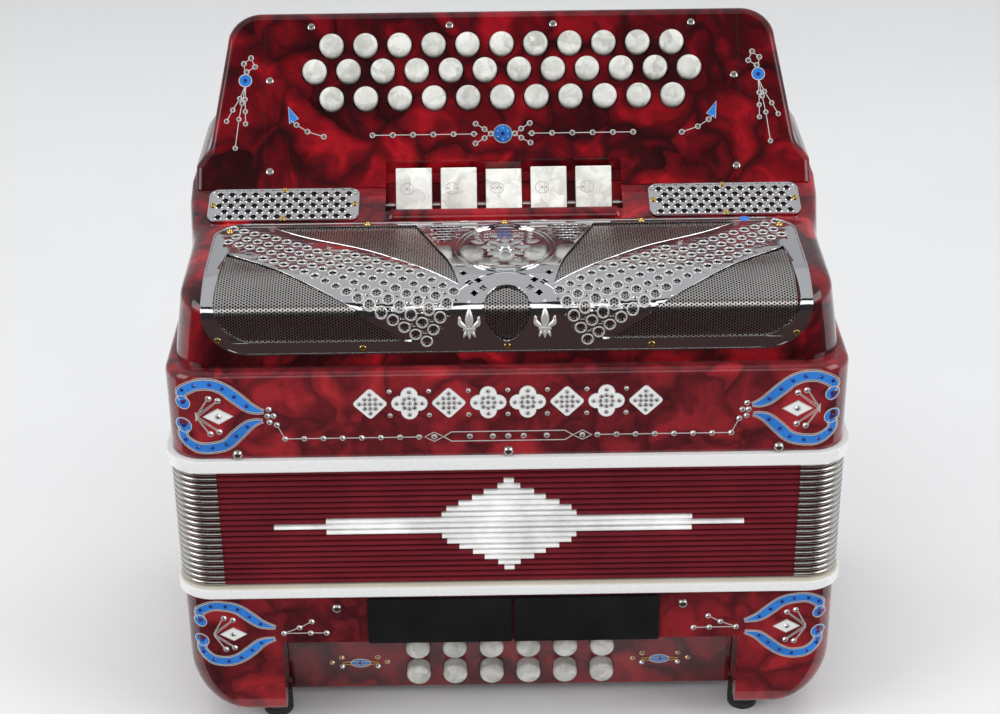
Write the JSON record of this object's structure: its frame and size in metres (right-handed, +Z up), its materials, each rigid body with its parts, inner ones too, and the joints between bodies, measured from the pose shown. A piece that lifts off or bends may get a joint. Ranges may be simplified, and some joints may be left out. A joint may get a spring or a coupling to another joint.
{
  "type": "button accordion",
  "caption": "Diatonic button accordion with rows of treble and bass buttons, register switches, curved grille and folded bellows between two rounded cases.",
  "frame": {"origin": "centre of the bounding box's bottom face, on the surface that the four feet stand on", "axes": "+X across the instrument along the button rows, +Y from the grille front to the player's side, +Z up from the bass end to the treble end"},
  "size_m": [0.34, 0.19, 0.3361],
  "materials": {
    "red_pearloid": "polished red pearloid celluloid",
    "white_pearloid": "polished white pearloid",
    "chrome_grille": "polished chrome, perforated",
    "bellows_cloth": "ribbed red cloth tape over folded card",
    "reed_wood": "plain spruce, unvarnished",
    "strap_leather": "black stitched leather",
    "button_steel": "satin nickel",
    "white_frame": "white gloss bellows frame",
    "corner_metal": "nickel-plated bellows corner protectors",
    "blue_inlay": "blue inlay with silver outline",
    "silver_line": "fine metallic line inlay",
    "rhinestone": "cut crystal stones",
    "blue_stone": "cut dark blue stones",
    "brass": "polished brass eyelets",
    "steel_screw": "domed screw heads and pins",
    "black_baffle": "matt black baffle covers",
    "rubber": "black rubber feet"
  },
  "bodies": {
    "bass_side": {"bass_casing": "red_pearloid", "bass_end_cover": "red_pearloid", "hand_strap": "strap_leather", "bellows": "bellows_cloth"},
    "treble_side": {"treble_casing": "red_pearloid", "fingerboard": "red_pearloid", "treble_grille": "chrome_grille", "treble_reed_pan": "reed_wood"},
    "treble_button_1_01_body": {"treble_button_1_01": "white_pearloid"},
    "treble_button_1_02_body": {"treble_button_1_02": "white_pearloid"},
    "treble_button_1_03_body": {"treble_button_1_03": "white_pearloid"},
    "treble_button_1_04_body": {"treble_button_1_04": "white_pearloid"},
    "treble_button_1_05_body": {"treble_button_1_05": "white_pearloid"},
    "treble_button_1_06_body": {"treble_button_1_06": "white_pearloid"},
    "treble_button_1_07_body": {"treble_button_1_07": "white_pearloid"},
    "treble_button_1_08_body": {"treble_button_1_08": "white_pearloid"},
    "treble_button_1_09_body": {"treble_button_1_09": "white_pearloid"},
    "treble_button_1_10_body": {"treble_button_1_10": "white_pearloid"},
    "treble_button_1_11_body": {"treble_button_1_11": "white_pearloid"},
    "treble_button_2_01_body": {"treble_button_2_01": "white_pearloid"},
    "treble_button_2_02_body": {"treble_button_2_02": "white_pearloid"},
    "treble_button_2_03_body": {"treble_button_2_03": "white_pearloid"},
    "treble_button_2_04_body": {"treble_button_2_04": "white_pearloid"},
    "treble_button_2_05_body": {"treble_button_2_05": "white_pearloid"},
    "treble_button_2_06_body": {"treble_button_2_06": "white_pearloid"},
    "treble_button_2_07_body": {"treble_button_2_07": "white_pearloid"},
    "treble_button_2_08_body": {"treble_button_2_08": "white_pearloid"},
    "treble_button_2_09_body": {"treble_button_2_09": "white_pearloid"},
    "treble_button_2_10_body": {"treble_button_2_10": "white_pearloid"},
    "treble_button_2_11_body": {"treble_button_2_11": "white_pearloid"},
    "treble_button_2_12_body": {"treble_button_2_12": "white_pearloid"},
    "treble_button_3_01_body": {"treble_button_3_01": "white_pearloid"},
    "treble_button_3_02_body": {"treble_button_3_02": "white_pearloid"},
    "treble_button_3_03_body": {"treble_button_3_03": "white_pearloid"},
    "treble_button_3_04_body": {"treble_button_3_04": "white_pearloid"},
    "treble_button_3_05_body": {"treble_button_3_05": "white_pearloid"},
    "treble_button_3_06_body": {"treble_button_3_06": "white_pearloid"},
    "treble_button_3_07_body": {"treble_button_3_07": "white_pearloid"},
    "treble_button_3_08_body": {"treble_button_3_08": "white_pearloid"},
    "treble_button_3_09_body": {"treble_button_3_09": "white_pearloid"},
    "treble_button_3_10_body": {"treble_button_3_10": "white_pearloid"},
    "treble_button_3_11_body": {"treble_button_3_11": "white_pearloid"},
    "bass_button_1_1_body": {"bass_button_1_1": "white_pearloid"},
    "bass_button_1_2_body": {"bass_button_1_2": "white_pearloid"},
    "bass_button_1_3_body": {"bass_button_1_3": "white_pearloid"},
    "bass_button_1_4_body": {"bass_button_1_4": "white_pearloid"},
    "bass_button_1_5_body": {"bass_button_1_5": "white_pearloid"},
    "bass_button_1_6_body": {"bass_button_1_6": "white_pearloid"},
    "bass_button_2_1_body": {"bass_button_2_1": "white_pearloid"},
    "bass_button_2_2_body": {"bass_button_2_2": "white_pearloid"},
    "bass_button_2_3_body": {"bass_button_2_3": "white_pearloid"},
    "bass_button_2_4_body": {"bass_button_2_4": "white_pearloid"},
    "bass_button_2_5_body": {"bass_button_2_5": "white_pearloid"},
    "bass_button_2_6_body": {"bass_button_2_6": "white_pearloid"},
    "register_switch_1_body": {"register_switch_1": "white_pearloid"},
    "register_switch_2_body": {"register_switch_2": "white_pearloid"},
    "register_switch_3_body": {"register_switch_3": "white_pearloid"},
    "register_switch_4_body": {"register_switch_4": "white_pearloid"},
    "register_switch_5_body": {"register_switch_5": "white_pearloid"},
    "air_button_body": {"air_button": "button_steel"}
  },
  "joints": [
    {"name": "bellows_slide", "type": "slide", "parent": "bass_side", "child": "treble_side", "axis": [0, 0, 1], "range_m": [0, 0.32], "deforming": ["bellows"]},
    {"name": "treble_button_1_01_press", "type": "slide", "parent": "treble_side", "child": "treble_button_1_01_body", "axis": [0, 0.8121, -0.5835], "range_m": [0, 0.0035], "stiffness_N_per_m": 120, "springref_m": -0.003},
    {"name": "treble_button_1_02_press", "type": "slide", "parent": "treble_side", "child": "treble_button_1_02_body", "axis": [0, 0.8121, -0.5835], "range_m": [0, 0.0035], "stiffness_N_per_m": 120, "springref_m": -0.003},
    {"name": "treble_button_1_03_press", "type": "slide", "parent": "treble_side", "child": "treble_button_1_03_body", "axis": [0, 0.8121, -0.5835], "range_m": [0, 0.0035], "stiffness_N_per_m": 120, "springref_m": -0.003},
    {"name": "treble_button_1_04_press", "type": "slide", "parent": "treble_side", "child": "treble_button_1_04_body", "axis": [0, 0.8121, -0.5835], "range_m": [0, 0.0035], "stiffness_N_per_m": 120, "springref_m": -0.003},
    {"name": "treble_button_1_05_press", "type": "slide", "parent": "treble_side", "child": "treble_button_1_05_body", "axis": [0, 0.8121, -0.5835], "range_m": [0, 0.0035], "stiffness_N_per_m": 120, "springref_m": -0.003},
    {"name": "treble_button_1_06_press", "type": "slide", "parent": "treble_side", "child": "treble_button_1_06_body", "axis": [0, 0.8121, -0.5835], "range_m": [0, 0.0035], "stiffness_N_per_m": 120, "springref_m": -0.003},
    {"name": "treble_button_1_07_press", "type": "slide", "parent": "treble_side", "child": "treble_button_1_07_body", "axis": [0, 0.8121, -0.5835], "range_m": [0, 0.0035], "stiffness_N_per_m": 120, "springref_m": -0.003},
    {"name": "treble_button_1_08_press", "type": "slide", "parent": "treble_side", "child": "treble_button_1_08_body", "axis": [0, 0.8121, -0.5835], "range_m": [0, 0.0035], "stiffness_N_per_m": 120, "springref_m": -0.003},
    {"name": "treble_button_1_09_press", "type": "slide", "parent": "treble_side", "child": "treble_button_1_09_body", "axis": [0, 0.8121, -0.5835], "range_m": [0, 0.0035], "stiffness_N_per_m": 120, "springref_m": -0.003},
    {"name": "treble_button_1_10_press", "type": "slide", "parent": "treble_side", "child": "treble_button_1_10_body", "axis": [0, 0.8121, -0.5835], "range_m": [0, 0.0035], "stiffness_N_per_m": 120, "springref_m": -0.003},
    {"name": "treble_button_1_11_press", "type": "slide", "parent": "treble_side", "child": "treble_button_1_11_body", "axis": [0, 0.8121, -0.5835], "range_m": [0, 0.0035], "stiffness_N_per_m": 120, "springref_m": -0.003},
    {"name": "treble_button_2_01_press", "type": "slide", "parent": "treble_side", "child": "treble_button_2_01_body", "axis": [0, 0.8121, -0.5835], "range_m": [0, 0.0035], "stiffness_N_per_m": 120, "springref_m": -0.003},
    {"name": "treble_button_2_02_press", "type": "slide", "parent": "treble_side", "child": "treble_button_2_02_body", "axis": [0, 0.8121, -0.5835], "range_m": [0, 0.0035], "stiffness_N_per_m": 120, "springref_m": -0.003},
    {"name": "treble_button_2_03_press", "type": "slide", "parent": "treble_side", "child": "treble_button_2_03_body", "axis": [0, 0.8121, -0.5835], "range_m": [0, 0.0035], "stiffness_N_per_m": 120, "springref_m": -0.003},
    {"name": "treble_button_2_04_press", "type": "slide", "parent": "treble_side", "child": "treble_button_2_04_body", "axis": [0, 0.8121, -0.5835], "range_m": [0, 0.0035], "stiffness_N_per_m": 120, "springref_m": -0.003},
    {"name": "treble_button_2_05_press", "type": "slide", "parent": "treble_side", "child": "treble_button_2_05_body", "axis": [0, 0.8121, -0.5835], "range_m": [0, 0.0035], "stiffness_N_per_m": 120, "springref_m": -0.003},
    {"name": "treble_button_2_06_press", "type": "slide", "parent": "treble_side", "child": "treble_button_2_06_body", "axis": [0, 0.8121, -0.5835], "range_m": [0, 0.0035], "stiffness_N_per_m": 120, "springref_m": -0.003},
    {"name": "treble_button_2_07_press", "type": "slide", "parent": "treble_side", "child": "treble_button_2_07_body", "axis": [0, 0.8121, -0.5835], "range_m": [0, 0.0035], "stiffness_N_per_m": 120, "springref_m": -0.003},
    {"name": "treble_button_2_08_press", "type": "slide", "parent": "treble_side", "child": "treble_button_2_08_body", "axis": [0, 0.8121, -0.5835], "range_m": [0, 0.0035], "stiffness_N_per_m": 120, "springref_m": -0.003},
    {"name": "treble_button_2_09_press", "type": "slide", "parent": "treble_side", "child": "treble_button_2_09_body", "axis": [0, 0.8121, -0.5835], "range_m": [0, 0.0035], "stiffness_N_per_m": 120, "springref_m": -0.003},
    {"name": "treble_button_2_10_press", "type": "slide", "parent": "treble_side", "child": "treble_button_2_10_body", "axis": [0, 0.8121, -0.5835], "range_m": [0, 0.0035], "stiffness_N_per_m": 120, "springref_m": -0.003},
    {"name": "treble_button_2_11_press", "type": "slide", "parent": "treble_side", "child": "treble_button_2_11_body", "axis": [0, 0.8121, -0.5835], "range_m": [0, 0.0035], "stiffness_N_per_m": 120, "springref_m": -0.003},
    {"name": "treble_button_2_12_press", "type": "slide", "parent": "treble_side", "child": "treble_button_2_12_body", "axis": [0, 0.8121, -0.5835], "range_m": [0, 0.0035], "stiffness_N_per_m": 120, "springref_m": -0.003},
    {"name": "treble_button_3_01_press", "type": "slide", "parent": "treble_side", "child": "treble_button_3_01_body", "axis": [0, 0.8121, -0.5835], "range_m": [0, 0.0035], "stiffness_N_per_m": 120, "springref_m": -0.003},
    {"name": "treble_button_3_02_press", "type": "slide", "parent": "treble_side", "child": "treble_button_3_02_body", "axis": [0, 0.8121, -0.5835], "range_m": [0, 0.0035], "stiffness_N_per_m": 120, "springref_m": -0.003},
    {"name": "treble_button_3_03_press", "type": "slide", "parent": "treble_side", "child": "treble_button_3_03_body", "axis": [0, 0.8121, -0.5835], "range_m": [0, 0.0035], "stiffness_N_per_m": 120, "springref_m": -0.003},
    {"name": "treble_button_3_04_press", "type": "slide", "parent": "treble_side", "child": "treble_button_3_04_body", "axis": [0, 0.8121, -0.5835], "range_m": [0, 0.0035], "stiffness_N_per_m": 120, "springref_m": -0.003},
    {"name": "treble_button_3_05_press", "type": "slide", "parent": "treble_side", "child": "treble_button_3_05_body", "axis": [0, 0.8121, -0.5835], "range_m": [0, 0.0035], "stiffness_N_per_m": 120, "springref_m": -0.003},
    {"name": "treble_button_3_06_press", "type": "slide", "parent": "treble_side", "child": "treble_button_3_06_body", "axis": [0, 0.8121, -0.5835], "range_m": [0, 0.0035], "stiffness_N_per_m": 120, "springref_m": -0.003},
    {"name": "treble_button_3_07_press", "type": "slide", "parent": "treble_side", "child": "treble_button_3_07_body", "axis": [0, 0.8121, -0.5835], "range_m": [0, 0.0035], "stiffness_N_per_m": 120, "springref_m": -0.003},
    {"name": "treble_button_3_08_press", "type": "slide", "parent": "treble_side", "child": "treble_button_3_08_body", "axis": [0, 0.8121, -0.5835], "range_m": [0, 0.0035], "stiffness_N_per_m": 120, "springref_m": -0.003},
    {"name": "treble_button_3_09_press", "type": "slide", "parent": "treble_side", "child": "treble_button_3_09_body", "axis": [0, 0.8121, -0.5835], "range_m": [0, 0.0035], "stiffness_N_per_m": 120, "springref_m": -0.003},
    {"name": "treble_button_3_10_press", "type": "slide", "parent": "treble_side", "child": "treble_button_3_10_body", "axis": [0, 0.8121, -0.5835], "range_m": [0, 0.0035], "stiffness_N_per_m": 120, "springref_m": -0.003},
    {"name": "treble_button_3_11_press", "type": "slide", "parent": "treble_side", "child": "treble_button_3_11_body", "axis": [0, 0.8121, -0.5835], "range_m": [0, 0.0035], "stiffness_N_per_m": 120, "springref_m": -0.003},
    {"name": "bass_button_1_1_press", "type": "slide", "parent": "bass_side", "child": "bass_button_1_1_body", "axis": [0, 0.9938, 0.1115], "range_m": [0, 0.0035], "stiffness_N_per_m": 120, "springref_m": -0.003},
    {"name": "bass_button_1_2_press", "type": "slide", "parent": "bass_side", "child": "bass_button_1_2_body", "axis": [0, 0.9938, 0.1115], "range_m": [0, 0.0035], "stiffness_N_per_m": 120, "springref_m": -0.003},
    {"name": "bass_button_1_3_press", "type": "slide", "parent": "bass_side", "child": "bass_button_1_3_body", "axis": [0, 0.9938, 0.1115], "range_m": [0, 0.0035], "stiffness_N_per_m": 120, "springref_m": -0.003},
    {"name": "bass_button_1_4_press", "type": "slide", "parent": "bass_side", "child": "bass_button_1_4_body", "axis": [0, 0.9938, 0.1115], "range_m": [0, 0.0035], "stiffness_N_per_m": 120, "springref_m": -0.003},
    {"name": "bass_button_1_5_press", "type": "slide", "parent": "bass_side", "child": "bass_button_1_5_body", "axis": [0, 0.9938, 0.1115], "range_m": [0, 0.0035], "stiffness_N_per_m": 120, "springref_m": -0.003},
    {"name": "bass_button_1_6_press", "type": "slide", "parent": "bass_side", "child": "bass_button_1_6_body", "axis": [0, 0.9938, 0.1115], "range_m": [0, 0.0035], "stiffness_N_per_m": 120, "springref_m": -0.003},
    {"name": "bass_button_2_1_press", "type": "slide", "parent": "bass_side", "child": "bass_button_2_1_body", "axis": [0, 0.9938, 0.1115], "range_m": [0, 0.0035], "stiffness_N_per_m": 120, "springref_m": -0.003},
    {"name": "bass_button_2_2_press", "type": "slide", "parent": "bass_side", "child": "bass_button_2_2_body", "axis": [0, 0.9938, 0.1115], "range_m": [0, 0.0035], "stiffness_N_per_m": 120, "springref_m": -0.003},
    {"name": "bass_button_2_3_press", "type": "slide", "parent": "bass_side", "child": "bass_button_2_3_body", "axis": [0, 0.9938, 0.1115], "range_m": [0, 0.0035], "stiffness_N_per_m": 120, "springref_m": -0.003},
    {"name": "bass_button_2_4_press", "type": "slide", "parent": "bass_side", "child": "bass_button_2_4_body", "axis": [0, 0.9938, 0.1115], "range_m": [0, 0.0035], "stiffness_N_per_m": 120, "springref_m": -0.003},
    {"name": "bass_button_2_5_press", "type": "slide", "parent": "bass_side", "child": "bass_button_2_5_body", "axis": [0, 0.9938, 0.1115], "range_m": [0, 0.0035], "stiffness_N_per_m": 120, "springref_m": -0.003},
    {"name": "bass_button_2_6_press", "type": "slide", "parent": "bass_side", "child": "bass_button_2_6_body", "axis": [0, 0.9938, 0.1115], "range_m": [0, 0.0035], "stiffness_N_per_m": 120, "springref_m": -0.003},
    {"name": "air_button_press", "type": "slide", "parent": "bass_side", "child": "air_button_body", "axis": [0, 0, 1], "range_m": [0, 0.004], "stiffness_N_per_m": 150, "springref_m": -0.003},
    {"name": "register_switch_1_rock", "type": "hinge", "parent": "treble_side", "child": "register_switch_1_body", "pos_m": [-0.04612, 0.0139, 0.253], "axis": [-1, 0, 0], "range_deg": [0, 14]},
    {"name": "register_switch_2_rock", "type": "hinge", "parent": "treble_side", "child": "register_switch_2_body", "pos_m": [-0.02306, 0.0139, 0.253], "axis": [-1, 0, 0], "range_deg": [0, 14]},
    {"name": "register_switch_3_rock", "type": "hinge", "parent": "treble_side", "child": "register_switch_3_body", "pos_m": [0, 0.0139, 0.253], "axis": [-1, 0, 0], "range_deg": [-14, 0]},
    {"name": "register_switch_4_rock", "type": "hinge", "parent": "treble_side", "child": "register_switch_4_body", "pos_m": [0.02306, 0.0139, 0.253], "axis": [-1, 0, 0], "range_deg": [0, 14]},
    {"name": "register_switch_5_rock", "type": "hinge", "parent": "treble_side", "child": "register_switch_5_body", "pos_m": [0.04612, 0.0139, 0.253], "axis": [-1, 0, 0], "range_deg": [0, 14]}
  ]
}
